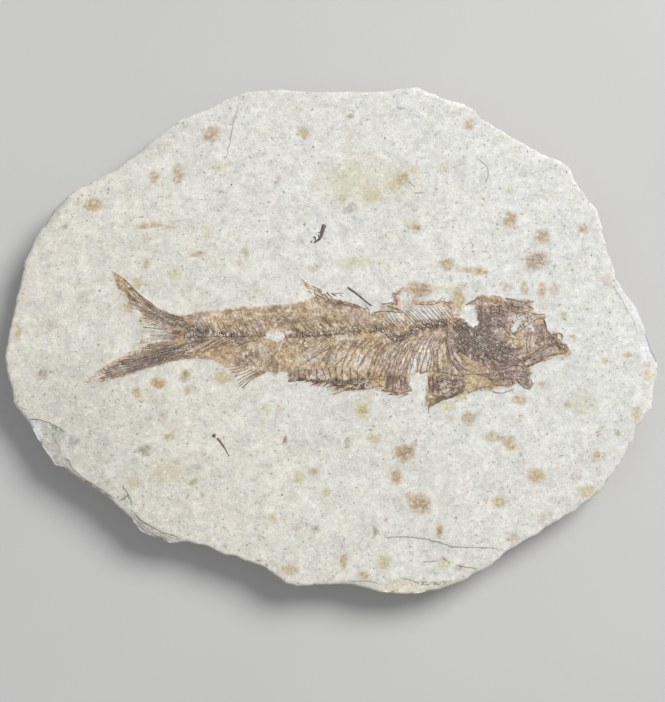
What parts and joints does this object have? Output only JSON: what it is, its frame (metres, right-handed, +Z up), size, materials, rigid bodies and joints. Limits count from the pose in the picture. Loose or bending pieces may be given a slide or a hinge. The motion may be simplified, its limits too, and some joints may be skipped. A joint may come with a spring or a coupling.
{
  "type": "fossil fish slab",
  "caption": "Pressed fossil herring in a hand-trimmed plate of pale bedded limestone, with loose fin and bone pieces, lying fossil side up.",
  "frame": {"origin": "middle of the bounding box at the underside the slab lies on", "axes": "+X from the fish's tail to its snout, +Y towards its back, +Z up out of the fossil face"},
  "size_m": [0.1631, 0.1281, 0.0109],
  "materials": {
    "limestone": "matt, chalky, split along the bedding",
    "fossil_bone": "dull to faintly waxy brown mineralised bone and skin",
    "dark_sliver": "dull dark grey"
  },
  "bodies": {
    "root": {"limestone_slab": "limestone", "fossil_fish": "fossil_bone", "dorsal_fin": "fossil_bone", "fin_spine": "fossil_bone", "stray_rib": "fossil_bone", "stray_sliver": "dark_sliver"}
  },
  "joints": []
}
